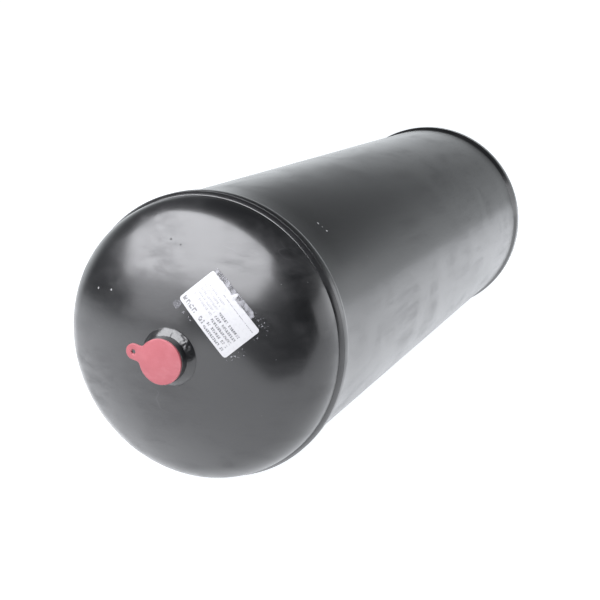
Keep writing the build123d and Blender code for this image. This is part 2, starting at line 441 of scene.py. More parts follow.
shell_marks = (  # x, y, z, size, tone: one knock with three bright chips
    (-0.2369, -0.0660, 0.0791, 0.0011, 0.34), (-0.2361, -0.0690, 0.0765, 0.0007, 0.25),
    (-0.2352, -0.0720, 0.0737, 0.0011, 0.34),
)
front_marks = (  # two bright chips and two dark dots on the crown, and a chip by the ring
    (-0.3272, 0.0637, 0.0393, 0.0009, 0.22), (-0.3320, 0.0503, 0.0400, 0.0009, 0.22),
    (-0.3274, -0.0022, 0.0745, 0.0008, 0.002), (-0.3257, 0.0059, 0.0775, 0.0009, 0.002),
    (-0.3075, -0.0056, 0.1020, 0.0009, 0.30),
)
shell_paint = black_paint("shell_paint", 0.30, 1.0, 0.5, 0.06, 0.10, shell_marks)
front_dome_paint = black_paint("front_dome_paint", 0.30, 1.0, 0.9, 0.06, 0.12, front_marks)
rear_dome_paint = black_paint("rear_dome_paint", 0.30, 1.0, 0.9, 0.06, 0.12)
bead_paint = black_paint("bead_paint", 0.30, 1.4, 0.5, 0.12, 0.05)
socket_paint = black_paint("socket_paint", 0.28, 1.2, 0.4, 0.08, 0.10)
print("five black paints")

# %% [markdown]
# Inside a socket the spray does not reach, so the thread is bare, slightly oily steel.

# %% Thread steel
thread_steel, tree, shader, place = new_finish("thread_steel")
oily = grade(tree, cloud(tree, place, 160.0, 3.0), 0.4, 0.65)
colour = blend_colours(tree, oily, (0.30, 0.29, 0.28, 1), (0.13, 0.11, 0.09, 1))
rough = maths(tree, "MULTIPLY_ADD", oily, -0.12, 0.42)
feed(tree, shader, Base_Color=colour, Roughness=rough, Metallic=0.95)
grain = use(tree, "orange_peel", place, Size=0.0006)["Height"]
add_bump(tree, shader, grain, 0.4, 0.00002)
print("thread steel:", len(tree.nodes), "nodes")

# %% [markdown]
# The caps are moulded in a soft red plastic with a fine, matt texture. Handling has polished it in
# places and left grey rub marks in others.

# %% Cap plastic
cap_plastic, tree, shader, place = new_finish("cap_plastic")
cloudy = grade(tree, cloud(tree, place, 90.0, 4.0, 0.6), 0.3, 0.7)
rubbed = use(tree, "handling_haze", place, Size=0.012, Amount=0.5)["Haze"]
dust = use(tree, "dust_specks", place, Spacing=0.0016, Amount=0.06)["Specks"]
colour = blend_colours(tree, cloudy, (0.262, 0.063, 0.075, 1), (0.288, 0.075, 0.088, 1))
colour = blend_colours(tree, rubbed, colour, (0.34, 0.115, 0.130, 1))
colour = blend_colours(tree, times(tree, dust, 0.6), colour, (0.10, 0.03, 0.03, 1))
rough = maths(tree, "MULTIPLY_ADD", cloudy, 0.08, 0.30)
feed(tree, shader, Base_Color=colour, Roughness=rough, IOR=1.46)
grain = use(tree, "orange_peel", place, Size=0.0005)["Height"]
add_bump(tree, shader, grain, 0.6, 0.00002)
print("cap plastic:", len(tree.nodes), "nodes")

# %% [markdown]
# The data label is white film with grey print. Its print is greeked: each row is a strip cut into
# small random blocks, so it reads as print from a distance but says nothing. One group makes a
# block of such rows on the label's own UV map, and the label's material places it four times.

# %% Greeked print
tree, given, result = new_group(
    "greeked_print",
    {"Left": 0.0, "Right": 1.0, "Bottom": 0.0, "Top": 1.0, "Rows": 3.0, "Pitch": 0.02, "Seed": 0.0},
    ["Ink"],
)
flat = split(tree, given["Vector"])
across = maths(tree, "SUBTRACT", flat["X"], given["Left"])
wide = maths(tree, "SUBTRACT", given["Right"], given["Left"])
up = maths(tree, "SUBTRACT", flat["Y"], given["Bottom"])
tall = maths(tree, "SUBTRACT", given["Top"], given["Bottom"])
share = maths(tree, "DIVIDE", across, wide)
line = maths(tree, "DIVIDE", up, tall)
inside = None  # first the block's own rectangle, then the gaps between rows and letters
for value in (share, line):
    off_middle = maths(tree, "ABSOLUTE", maths(tree, "SUBTRACT", value, 0.5))
    within = maths(tree, "LESS_THAN", off_middle, 0.5)
    inside = within if inside is None else times(tree, inside, within)
line = times(tree, line, given["Rows"])
step = maths(tree, "DIVIDE", across, given["Pitch"])
for value, body in ((maths(tree, "FRACT", line), 0.56), (maths(tree, "FRACT", step), 0.78)):
    inside = times(tree, inside, maths(tree, "LESS_THAN", value, body))
row = maths(tree, "ADD", maths(tree, "FLOOR", line), given["Seed"])
for size, tallness, kept in ((1.0, 1.0, 0.10), (3.1, 5.3, 0.28)):
    along = maths(tree, "FLOOR", times(tree, step, size))
    upward = maths(tree, "FLOOR", times(tree, line, tallness))
    seat = node(tree, "CombineXYZ")
    feed(tree, seat, X=along, Y=upward, Z=row)
    chance = node(tree, "TexWhiteNoise", noise_dimensions="3D")
    feed(tree, chance, Vector=seat.outputs[0])
    inside = times(tree, inside, maths(tree, "GREATER_THAN", chance.outputs["Value"], kept))
wire(tree, inside, result["Ink"])
print("greeked print:", len(tree.nodes), "nodes")

# %% [markdown]
# The label's sheet is white and a little scuffed. Where its upper left is crumpled, it is painted
# grey as shade in the creases. Its print has rubbed off in specks.

# %% Label paper
label_print = (  # left, right, bottom, top, rows, letter pitch, darkness
    (0.03, 0.46, 0.07, 0.265, 1, 0.068, 0.62),
    (0.49, 0.91, 0.055, 0.62, 5, 0.030, 0.72),
    (0.08, 0.45, 0.34, 0.80, 5, 0.024, 0.34),
    (0.34, 0.97, 0.84, 0.875, 1, 0.009, 0.75),
)
label_paper, tree, shader, place = new_finish("label_paper")
sheet = node(tree, "TexCoord").outputs["UV"]
ink = 0.0
for seed, (left, right, bottom, top, rows, letter, darkness) in enumerate(label_print):
    part = use(tree, "greeked_print", sheet, Left=left, Right=right, Bottom=bottom, Top=top,
               Rows=float(rows), Pitch=letter, Seed=7.0 * seed)
    ink = maths(tree, "MAXIMUM", ink, times(tree, part["Ink"], darkness))
worn = grade(tree, cloud(tree, place, 700.0, 2.0, 0.6), 0.26, 0.44)
ink = times(tree, ink, worn)
flat = split(tree, sheet)
scuffed = grade(tree, cloud(tree, place, 420.0, 5.0, 0.7, 0.8), 0.47, 0.70)
upper = grade(tree, flat["Y"], 0.72, 0.98)
left_part = grade(tree, flat["X"], 0.62, 0.30)
# the crumpled upper left gets painted crease shade, and the scuffs grey the rest a little
crumpled = times(tree, scuffed, times(tree, upper, left_part))
scuffs_and_crease_shade = maths(tree, "MAXIMUM", times(tree, crumpled, 0.6), times(tree, scuffed, 0.16))
colour = blend_colours(tree, scuffs_and_crease_shade, (0.40, 0.40, 0.41, 1), (0.15, 0.15, 0.16, 1))
colour = blend_colours(tree, ink, colour, (0.012, 0.012, 0.016, 1))
rough = maths(tree, "MULTIPLY_ADD", scuffed, 0.2, 0.30)
feed(tree, shader, Base_Color=colour, Roughness=rough)
add_bump(tree, shader, maths(tree, "ADD", scuffed, times(tree, ink, -0.1)), 0.5, 0.00006)
print("label paper:", len(label_print), "blocks of greeked print")

# %% [markdown]
# The label's clear film is milky where it is creased, and nearly clear between the creases, so
# one noise drives its colour, its gloss, how much it covers and its relief.

# %% Clear film
clear_film, tree, shader, place = new_finish("clear_film")
creases = cloud(tree, place, 190.0, 2.0, 0.5, 0.8)
milky = grade(tree, creases, 0.30, 0.72)
colour = blend_colours(tree, milky, (0.12, 0.12, 0.13, 1), (0.32, 0.32, 0.34, 1))
rough = maths(tree, "MULTIPLY_ADD", milky, 0.25, 0.25)
cover = maths(tree, "MULTIPLY_ADD", milky, 0.30, 0.32)
feed(tree, shader, Base_Color=colour, Roughness=rough, Alpha=cover)
add_bump(tree, shader, creases, 0.5, 0.00005)
print("clear film:", len(tree.nodes), "nodes")

# %% [markdown]
# ## Working on a mesh
# Every piece starts from a primitive and is shaped in edit mode. These helpers are the moves used
# again and again: open a piece, pick its vertices or edges by their place, draw a line by
# extruding one vertex, swing that vertex round an arc, and turn a line into a round body.

# %% Mesh helpers
def make_active(piece):
    """Select one piece alone, so that the next operator acts on it."""
    deselect()
    piece.select_set(True)
    bpy.context.view_layer.objects.active = piece


def open_piece(piece):
    """Go into edit mode on one piece."""
    make_active(piece)
    bpy.ops.object.mode_set(mode="EDIT")


def close_piece():
    """Leave edit mode."""
    bpy.ops.object.mode_set(mode="OBJECT")


def pick_all():
    """In edit mode, select the whole mesh."""
    bpy.ops.mesh.select_all(action="SELECT")


def pick(piece, kind, rule):
    """In edit mode, select the vertices, edges or faces that a rule says yes to."""
    bpy.ops.mesh.select_mode(type=kind)
    bpy.ops.mesh.select_all(action="DESELECT")
    mesh = bmesh.from_edit_mesh(piece.data)
    parts = {"VERT": mesh.verts, "EDGE": mesh.edges, "FACE": mesh.faces}[kind]
    chosen = [part for part in parts if rule(part)]
    for part in chosen:
        part.select_set(True)
    mesh.select_flush_mode()
    bmesh.update_edit_mesh(piece.data)
    return len(chosen)


def apply_modifier(piece, kind, **settings):
    """Give a piece a modifier and apply it at once."""
    make_active(piece)
    modifier = piece.modifiers.new(kind.lower(), kind)
    for name, value in settings.items():
        setattr(modifier, name, value)
    bpy.ops.object.modifier_apply(modifier=modifier.name)


def name_new(name):
    """Name the primitive that was just added, and put its place into its mesh."""
    piece = bpy.context.object
    piece.name = piece.data.name = name
    bpy.ops.object.transform_apply(location=True, rotation=True, scale=True)
    return piece


def start_line(name, point):
    """Start a piece as one vertex: a small plane merged to its middle. Edit mode stays on."""
    deselect()
    bpy.ops.mesh.primitive_plane_add(size=0.001, location=point)
    piece = name_new(name)
    bpy.ops.object.mode_set(mode="EDIT")
    bpy.ops.mesh.select_mode(type="VERT")
    pick_all()
    bpy.ops.mesh.merge(type="CENTER")
    return piece


def draw_on(points):
    """Extrude the selected vertex from point to point."""
    for start, end in zip(points, points[1:]):
        step = Vector(end) - Vector(start)
        bpy.ops.mesh.extrude_region_move(TRANSFORM_OT_translate={"value": step})


def swing(centre, axis, angle, steps):
    """Extrude the selection round an arc, turning as a right-hand screw about the axis."""
    bpy.ops.mesh.spin(steps=steps, angle=-angle, center=centre, axis=axis)


def tidy_surface():
    """In edit mode, merge doubles and point every face outwards."""
    pick_all()
    bpy.ops.mesh.remove_doubles(threshold=0.000001)
    pick_all()
    bpy.ops.mesh.normals_make_consistent(inside=False)


def tidy_piece(piece):
    """Tidy the whole surface of a piece that is not open."""
    open_piece(piece)
    tidy_surface()
    close_piece()


def turn_round(axis, steps):
    """Spin the drawn line once round an axis through the origin and leave edit mode."""
    pick_all()
    bpy.ops.mesh.spin(steps=steps, angle=2 * pi, center=(0, 0, 0), axis=axis)
    tidy_surface()
    close_piece()


def move_points(piece, rule):
    """Give every vertex the place that a rule works out from its old one."""
    for vertex in piece.data.vertices:
        vertex.co = rule(vertex.co.copy())
    piece.data.update()


def copy_to(piece, name, frame_matrix):
    """A copy of a piece with its own mesh, carried to another place."""
    copy = piece.copy()
    copy.data = piece.data.copy()
    copy.name = copy.data.name = name
    bpy.context.scene.collection.objects.link(copy)
    copy.data.transform(frame_matrix)
    return copy


def finish_piece(piece, materials, body, slot, *nodes, smooth=35):
    """Smooth a piece, give it its finish, tie it to its body, and hide the CAD nodes it stands for."""
    make_active(piece)
    bpy.ops.object.shade_smooth_by_angle(angle=radians(smooth))
    for material in materials:
        piece.data.materials.append(material)
    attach(piece, body)
    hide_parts(*nodes)
    triangles = sum(len(face.vertices) - 2 for face in piece.data.polygons)
    print(f"{piece.name}: {triangles} triangles, rides on {body}")


def waves(x, y, z):
    """A smooth random value from about -1 to 1 at a place."""
    return noise.noise(Vector((x, y, z)))


def wander(angle, seed, turns=1.0):
    """A smooth random value that comes back to itself after a whole turn."""
    return waves(turns * cos(angle), turns * sin(angle), seed)


print("mesh helpers are ready")

# %% [markdown]
# ## The shell
# The real shell is a sheet rolled into a tube, with both ends pressed 2.6 mm wider to take the
# domes. Here it is a tube cut across where the widening starts and ends, with its end rings
# scaled up, the bends rounded and a wall added inwards. A rolled sheet is never a perfect
# cylinder, so the tube gets waves of a few hundredths of a millimetre: they can't be seen as a
# shape, but they make the reflections live.

# %% Tank shell
ring_start = half_length - ring_length
joggle_start = ring_start - joggle_length
around = 256
bend_round = 0.0011
deselect()
bpy.ops.mesh.primitive_cylinder_add(
    vertices=around, radius=tank_radius, depth=2 * half_length, end_fill_type="NOTHING",
    rotation=(0, pi / 2, 0),
)
shell = name_new("tank_shell")
open_piece(shell)
half_cuts = 11
cuts = [joggle_start * share / half_cuts for share in range(-half_cuts, half_cuts + 1)]
for cut in cuts + [-ring_start, ring_start]:
    pick_all()
    bpy.ops.mesh.bisect(plane_co=(cut, 0, 0), plane_no=(1, 0, 0))
widening = ring_radius / tank_radius
pick(shell, "VERT", lambda vertex: abs(vertex.co.x) > ring_start - 0.0001)
bpy.ops.transform.resize(value=(1, widening, widening), center_override=(0, 0, 0))
bends = pick(shell, "EDGE", lambda edge: edge.calc_face_angle(0) > radians(15))
bpy.ops.mesh.bevel(offset=bend_round, segments=4, affect="EDGES")
tidy_surface()
close_piece()
print("shell bends rounded:", bends)

# %% [markdown]
# The waves come before the wall, so that the inside follows the outside.

# %% Shell waves and wall
wave_height = 0.00007
rim_round = 0.0003


def rolled(place):
    """Waves of the rolled sheet, which die out towards the pressed ends."""
    middle = max(0.0, 1 - (abs(place.x) / joggle_start) ** 6)
    wave = waves(place.x * 7, place.y * 16, place.z * 16)
    push = 1 + middle * wave_height * wave / tank_radius
    return Vector((place.x, place.y * push, place.z * push))


def on_rim(edge):
    """Is this a sharp edge of the shell's end faces?"""
    at_end = all(abs(vertex.co.x) > half_length - 0.00001 for vertex in edge.verts)
    return at_end and edge.calc_face_angle(0) > 1


move_points(shell, rolled)
apply_modifier(shell, "SOLIDIFY", thickness=wall, offset=-1, use_even_offset=True)
open_piece(shell)
rims = pick(shell, "EDGE", on_rim)
bpy.ops.mesh.bevel(offset=rim_round, segments=2, affect="EDGES")
close_piece()
print("shell rim edges rounded:", rims)

# %% [markdown]
# The drain socket goes through the shell on its far side. The hole is cut with a drill, which is
# a cylinder put in the port's own frame, as the socket will be.

# %% Hole for the drain
lean = radians(34.5)
drain_direction = Vector((0, sin(lean), -cos(lean)))


def port_frame(face_middle, outwards, sideways):
    """The place of a port: local Z runs out through its face, and local X runs sideways."""
    third = outwards.cross(sideways)
    columns = Matrix((sideways, third, outwards)).transposed().to_4x4()
    return Matrix.Translation(face_middle) @ columns


front_port = port_frame(Vector((-mouth, 0, 0)), Vector((-1, 0, 0)), Vector((0, -1, 0)))
rear_port = port_frame(Vector((mouth, 0, 0)), Vector((1, 0, 0)), Vector((0, 1, 0)))
drain_mouth = drain_direction * (tank_radius + socket_height)
drain_port = port_frame(drain_mouth, drain_direction, Vector((1, 0, 0)))

deselect()
bpy.ops.mesh.primitive_cylinder_add(vertices=96, radius=hole_radius, depth=0.04)
drill = name_new("drill")
drill.data.transform(drain_port)
apply_modifier(shell, "BOOLEAN", operation="DIFFERENCE", solver="EXACT", object=drill)
finish_piece(shell, [shell_paint], "tank", "tank_paint", "shell")

# %% [markdown]
# ## The domes
# A pressed dome has a large crown arc in the middle and a tight knuckle arc at its edge, then a
# short straight flange and a skirt that slides into the shell. So its outline is drawn as one
# line: a vertex is swung round the crown's centre, then round the knuckle's, then extruded along
# the flange. Turning that line round the tank's axis gives the dome, already open where the
# socket goes through. One dome is modelled, and the other is a copy turned half way round.

# %% Rear dome
knuckle_centre = tank_radius - knuckle_radius
crown_sweep = math.asin(knuckle_centre / (crown_radius - knuckle_radius))
crown_x = half_length + flange_length - (crown_radius - knuckle_radius) * cos(crown_sweep)
hole_angle = math.asin(hole_radius / crown_radius)
first = (crown_x + crown_radius * cos(hole_angle), 0, crown_radius * sin(hole_angle))
dome = start_line("rear_dome", first)
swing((crown_x, 0, 0), (0, -1, 0), crown_sweep - hole_angle, 40)
swing((half_length + flange_length, 0, knuckle_centre), (0, -1, 0), pi / 2 - crown_sweep, 28)
flange_end = Vector((half_length + flange_length, 0, tank_radius))
draw_on([flange_end, flange_end - Vector((flange_length, 0, 0))])
draw_on([Vector(), Vector((-skirt_length, 0, 0))])
turn_round((1, 0, 0), around)
deep_inside = Vector((crown_x - 0.1, 0, 0))
outward = sum(face.normal.dot(face.center - deep_inside) > 0 for face in dome.data.polygons)
print("dome faces pointing out:", outward, "of", len(dome.data.polygons))

# %% [markdown]
# The wall is added inwards, so that the drawn line stays the outside.

# %% Dome walls
apply_modifier(dome, "SOLIDIFY", thickness=wall, offset=-1, use_even_offset=True)
half_turn = Matrix.Rotation(pi, 4, "Z")
front_dome = copy_to(dome, "front_dome", half_turn)
finish_piece(dome, [rear_dome_paint], "tank", "tank_paint", "rear_head")
finish_piece(front_dome, [front_dome_paint], "tank", "tank_paint", "front_head")

# %% [markdown]
# ## The weld beads
# The domes are welded by a machine, which leaves an even row of ripples about 1.4 mm apart. Each
# bead is the outline of a fillet turned round the tank's axis in many small steps. Its face is
# then raised and lowered by a ripple whose crest bends back at the sides, as the molten pool's
# edge does, and wanders a little.

# %% Ring beads
bead_run = 0.0039  # along the dome's flange
bead_rise = 0.0024  # up the shell's end
ripple_pitch = 0.0014
toe = Vector((half_length + bead_run, 0, tank_radius))
top = Vector((half_length, 0, tank_radius + bead_rise))
bulge = 0.0002
slant = 0.7  # the share of a lift that goes each way on a slanting face
bead_points = 9


def fillet_face(share):
    """A point on the bead's face, from its toe on the dome to its top on the shell's end."""
    out = Vector((bead_rise, 0, bead_run)).normalized()
    return toe.lerp(top, share) + out * bulge * sin(pi * share)


bead = start_line("rear_ring_bead", toe)
line = [fillet_face(index / (bead_points - 1)) for index in range(bead_points)]
sunk = 0.0002  # how far a bead's back is sunk into the metal
back = Vector((-sunk, 0, 0))
under = Vector((0, 0, -sunk))
corner = Vector((half_length, 0, tank_radius)) + back + under
draw_on(line + [top + back, corner, toe + under, toe])
ring_ripples = round(2 * pi * tank_radius / ripple_pitch)
turn_round((1, 0, 0), 4 * ring_ripples)


def rippled_ring(place):
    """Ripples on the bead's face, fading out at its toe and its top."""
    radius = hypot(place.y, place.z)
    angle = atan2(place.z, place.y)
    share = (radius - tank_radius) / bead_rise
    if not 0.02 < share < 0.98 or place.x < half_length + 0.00001:
        return place
    crest = ring_ripples * angle + 2.2 * (2 * share - 1) ** 2 + 1.5 * wander(angle, 3.0, 4.0)
    lift = sin(pi * share) * (0.00003 * cos(crest) + 0.00006 * wander(angle, 7.0, 9.0))
    scale = (radius + lift * slant) / radius
    return Vector((place.x + lift * slant, place.y * scale, place.z * scale))


move_points(bead, rippled_ring)
front_bead = copy_to(bead, "front_ring_bead", half_turn)
finish_piece(bead, [bead_paint], "tank", "weld_paint", "rear_head_weld", smooth=70)
finish_piece(front_bead, [bead_paint], "tank", "weld_paint", "front_head_weld", smooth=70)

# %% [markdown]
# The rolled sheet's two edges are joined by one long, low bead low on the far side. It is a grid
# laid along the tank and lifted by a formula: round across, rippled along.

# %% Seam bead
seam_width = 0.0044
seam_height = 0.0007
seam_length = 2 * (joggle_start - 0.001)
seam_pitch = 0.0015
seam_ripples = round(seam_length / seam_pitch)
seam_lean = radians(-25)
deselect()
bpy.ops.mesh.primitive_grid_add(x_subdivisions=4 * seam_ripples, y_subdivisions=10, size=1)
seam = name_new("seam_bead")
open_piece(seam)
pick_all()
bpy.ops.transform.resize(value=(seam_length, seam_width, 1), center_override=(0, 0, 0))
close_piece()


def raised(place):
    """The seam's round back with its ripples, laid on the shell."""
    across = 2 * place.y / seam_width
    width = 1 + 0.10 * waves(place.x * 60, 0, 2.0)
    crest = 2 * pi * place.x / seam_pitch + 2.4 * across ** 2
    crest += 2 * waves(place.x * 90, 0, 5.0)
    swell = 1 - across ** 2
    ends = min(1.0, (seam_length / 2 - abs(place.x)) / 0.004)
    lift = ends * swell * (seam_height - 0.0001 + 0.00008 * cos(crest)) - 0.00012 * (1 - swell)
    angle = seam_lean + place.y * width / tank_radius
    radius = tank_radius + lift
    return Vector((place.x, radius * cos(angle), radius * sin(angle)))


move_points(seam, raised)
tidy_piece(seam)
outside = sum(face.normal.y * face.center.y > 0 for face in seam.data.polygons)
if outside < len(seam.data.polygons) / 2:
    seam.data.flip_normals()
apply_modifier(seam, "SOLIDIFY", thickness=0.0004, offset=-1)
finish_piece(seam, [bead_paint], "tank", "weld_paint", "shell_seam_weld", smooth=70)

# %% [markdown]
# ## The sockets
# Each socket is a turned steel ring with an M22 thread. Its section is drawn once as a closed
# line and turned round. The bore's rows lie a tenth of the pitch apart, and each vertex there is
# pushed outwards by how far its place along the screw is from a crest: a real helix, not rings.

# %% Socket
thread_radius = 0.011
pitch = 0.0015
thread_depth = 0.5413 * pitch
bore_radius = thread_radius - thread_depth
lead_radius = 0.0113
lead_depth = 0.006
edge = 0.0008
root_flat = 1 / 8  # of the pitch, as on every ISO thread
flank_run = 5 / 16  # of the pitch
socket_steps = 120
thread_start = lead_depth + lead_radius - bore_radius
rows = round(10 * (socket_length - thread_start) / pitch)


def section(radius, depth):
    """A point of a port's section: its radius, and how deep it is below the face."""
    return Vector((radius, 0, -depth))


row_step = (socket_length - thread_start) / rows
bore = [section(bore_radius, thread_start + row_step * row) for row in range(rows + 1)]
outline = [
    section(bore_radius, socket_length), section(socket_radius, socket_length), section(socket_radius, edge),
    section(socket_radius - 0.3 * edge, 0.3 * edge), section(socket_radius - edge, 0),
    section(lead_radius + 0.0006, 0), section(lead_radius, 0.0006), section(lead_radius, lead_depth),
]
socket = start_line("bench_socket", outline[0])
draw_on(outline + bore)
turn_round((0, 0, 1), socket_steps)


def threaded(place):
    """Cut the helix: only the bore's rows move, and the first thread runs out at the top."""
    radius = hypot(place.x, place.y)
    depth = -place.z
    in_bore = thread_start - 0.00001 < depth < socket_length - 0.0002
    if radius > bore_radius + 0.0001 or not in_bore:
        return place
    phase = (depth / pitch + atan2(place.y, place.x) / (2 * pi)) % 1.0
    flank = min(1.0, max(0.0, (abs(phase - 0.5) - root_flat / 2) / flank_run))
    fade = min(1.0, (depth - thread_start) / pitch, (socket_length - depth) / pitch)
    scale = (radius + thread_depth * (1 - flank) * max(0.0, fade)) / radius
    return Vector((place.x * scale, place.y * scale, place.z))


move_points(socket, threaded)
for face in socket.data.polygons:
    face.material_index = int(hypot(face.center.x, face.center.y) < lead_radius + 0.0002)
print("socket rows in the bore:", rows)

# %% [markdown]
# Three copies of the socket go to the three ports, each in that port's own frame.

# %% Three sockets
ports = (("front", front_port), ("rear", rear_port), ("drain", drain_port))
for name, place in ports:
    made = copy_to(socket, name + "_socket", place)
    finish_piece(made, [socket_paint, thread_steel], "tank", "boss_paint", name + "_port_boss")
bpy.data.objects.remove(socket)

# %% [markdown]
# A fillet bead runs round each socket. Its inner toe stays at one height on the socket, but its
# outer toe has to follow the metal, which is a ball on the domes and a cylinder at the drain. So
# the bead is turned as a straight ring, and each vertex is then moved to where the metal is.

# %% Socket beads
weld_leg = 0.0033
weld_top = weld_leg - socket_height  # height of the inner toe, in the port's frame
weld_ripples = 62
weld_points = 11
rough_angle = radians(35)  # where each bead starts and stops, and is lumpy
nick_angle = radians(76)


def ball_drop(x, y):
    """How far a dome falls away below its middle."""
    return crown_radius - sqrt(crown_radius ** 2 - x * x - y * y)


def barrel_drop(x, y):
    """How far the shell falls away: only across the tank, which is the port's local Y."""
    return tank_radius - sqrt(tank_radius ** 2 - y * y)


def socket_bead(name, drop, seed):
    """A rippled fillet bead round a socket, in the port's own frame."""
    shares = [index / (weld_points - 1) for index in range(weld_points)]
    ring = [Vector((socket_radius + weld_leg * share, 0, 0)) for share in shares]
    under = [Vector((socket_radius + weld_leg * share, 0, -0.001)) for share in (1.0, 0.0)]
    bead = start_line(name, ring[0])
    draw_on(ring + under + [ring[0]])
    turn_round((0, 0, 1), 6 * weld_ripples)

    def laid(place):
        """Where a point of the straight ring goes: its outer toe slides out until it meets metal."""
        radius, angle = hypot(place.x, place.y), atan2(place.y, place.x)
        share = (radius - socket_radius) / weld_leg
        reach = socket_radius + weld_leg
        for _ in range(8):  # each try comes nearer to where the metal is
            fall = drop(reach * cos(angle), reach * sin(angle))
            reach = socket_radius + weld_leg + fall
        reach += 0.0005 * wander(angle, seed, 3.0)
        foot = -socket_height - drop(reach * cos(angle), reach * sin(angle))
        at = socket_radius + (reach - socket_radius) * share
        level = weld_top + 0.0003 * wander(angle, seed + 4, 2.5)
        height = level + (foot - level) * share
        if place.z < -0.0005:
            below = -socket_height - drop(at * cos(angle), at * sin(angle)) - 0.0006
            return Vector((at * cos(angle), at * sin(angle), below))
        crest = weld_ripples * angle + 2.4 * (2 * share - 1) ** 2 + 2.0 * wander(angle, seed + 9, 5.0)
        swell = sin(pi * share)
        lumps = waves(8 * cos(angle), 8 * sin(angle), 3 * share + seed)
        lumpy = max(0.0, cos(angle - rough_angle)) ** 6
        lift = swell * (0.00025 + 0.000012 * cos(crest) + 0.00035 * lumps * lumpy)
        lift += swell * 0.00006 * wander(angle, seed + 13, 3.0)
        lift -= 0.0005 * max(0.0, 1 - abs(angle - nick_angle) / 0.03) * (0.05 < share < 0.65)
        at += lift * slant
        return Vector((at * cos(angle), at * sin(angle), height + lift * slant))

    move_points(bead, laid)
    tidy_piece(bead)
    return bead


dome_bead = socket_bead("bench_bead", ball_drop, 2.0)
for name, place in ports[:2]:
    made = copy_to(dome_bead, name + "_socket_bead", place)
    finish_piece(made, [bead_paint], "tank", "weld_paint", name + "_boss_weld", smooth=70)
bpy.data.objects.remove(dome_bead)
drain_bead = socket_bead("drain_socket_bead", barrel_drop, 21.0)
drain_bead.data.transform(drain_port)
finish_piece(drain_bead, [bead_paint], "tank", "weld_paint", "drain_boss_weld", smooth=70)

# %% [markdown]
# ## The caps
# A cap is a thin disc with a pull tab, and a short hollow spigot that plugs the socket. The
# outline is drawn by swinging one vertex round four centres in turn: the disc, the hollow of one
# neck, the round end of the tab, and the other neck. The line is filled and given its thickness.

# %% Cap outline
cap_radius = 0.0159
cap_thickness = 0.002
cap_gap = 0.00005
tab_reach = 0.0206
tab_radius = 0.0056
neck_radius = 0.003
neck_x = sqrt((cap_radius + neck_radius) ** 2 - (tab_radius + neck_radius) ** 2)
neck_y = tab_radius + neck_radius
neck_angle = atan2(neck_y, neck_x)
cap_start = Vector((cap_radius * cos(neck_angle), cap_radius * sin(neck_angle), cap_gap))
cap = start_line("bench_cap", cap_start)
swing((0, 0, 0), (0, 0, 1), 2 * pi - 2 * neck_angle, 110)
swing((neck_x, -neck_y, 0), (0, 0, -1), pi / 2 - neck_angle, 8)
draw_on([Vector((neck_x, 0, 0)), Vector((tab_reach, 0, 0))])
swing((tab_reach, 0, 0), (0, 0, 1), pi, 32)
draw_on([Vector((tab_reach, 0, 0)), Vector((neck_x, 0, 0))])
swing((neck_x, neck_y, 0), (0, 0, -1), pi / 2 - neck_angle, 8)
pick_all()
bpy.ops.mesh.remove_doubles(threshold=0.00001)
pick_all()
bpy.ops.mesh.edge_face_add()
bpy.ops.mesh.extrude_region_move(TRANSFORM_OT_translate={"value": (0, 0, cap_thickness)})
tidy_surface()
close_piece()
print("cap outline:", len(cap.data.vertices), "vertices")

# %% [markdown]
# The spigot is a short tube joined on underneath, and the tab's eye is drilled through. Both are
# booleans, after which every sharp edge gets the small rounding that a mould leaves.

# %% Cap spigot and eye
spigot_radius = 0.011
spigot_wall = 0.0013
spigot_length = 0.0055
eye_radius = 0.0015
overlap = 0.0005  # the spigot starts this far inside the disc
deselect()
bpy.ops.mesh.primitive_cylinder_add(
    vertices=96, radius=spigot_radius, depth=spigot_length + overlap, end_fill_type="NOTHING",
    location=(0, 0, cap_gap + overlap / 2 - spigot_length / 2),
)
spigot = name_new("spigot")
apply_modifier(spigot, "SOLIDIFY", thickness=spigot_wall, offset=-1, use_even_offset=True)
apply_modifier(cap, "BOOLEAN", operation="UNION", solver="EXACT", object=spigot)
deselect()
bpy.ops.mesh.primitive_cylinder_add(
    vertices=40, radius=eye_radius, depth=0.01, location=(tab_reach, 0, cap_thickness / 2)
)
punch = name_new("punch")
apply_modifier(cap, "BOOLEAN", operation="DIFFERENCE", solver="EXACT", object=punch)
for tool in (drill, spigot, punch):
    bpy.data.objects.remove(tool)
mould_round = 0.0005
sharp = radians(50)
apply_modifier(cap, "BEVEL", width=mould_round, segments=3, limit_method="ANGLE", angle_limit=sharp)
tidy_piece(cap)
print("cap:", len(cap.data.polygons), "faces")

# %% [markdown]
# Each cap rides on a body of its own, so it can be pulled off its socket. The tabs are turned as
# they happened to be pressed on.

# %% Three caps
tab_angles = {"front": 165.6, "rear": 60.0, "drain": 0.0}
for name, place in ports:
    turned = place @ Matrix.Rotation(radians(tab_angles[name]), 4, "Z")
    made = copy_to(cap, name + "_dust_cap", turned)
    finish_piece(made, [cap_plastic], name + "_cap", "cap_plastic", name + "_port_cap")
bpy.data.objects.remove(cap)

# %% [markdown]
# ## The data label
# The label is a printed sheet stuck on the dome, so it bends with it. It is drawn flat, and a
# function drops each point of that drawing onto the crown's ball.

# %% Label frame
label_width = 0.051
label_height = 0.0305
label_corner = 0.0022
label_thickness = 0.0002
stuck_gap = 0.00001
label_right = 0.0349  # of the dome's middle, seen from the front
label_up = 0.0317  # above the dome's middle
label_turn = radians(-49.5)
label_out = Vector((0, -label_right, label_up))
label_lean = math.asin(label_out.length / crown_radius)
label_normal = Vector((-cos(label_lean), 0, 0)) + label_out.normalized() * sin(label_lean)
reading = Vector((0, -cos(label_turn), sin(label_turn)))
reading = (reading - label_normal * reading.dot(label_normal)).normalized()
upwards = label_normal.cross(reading)
crown_middle = Vector((-crown_x, 0, 0))


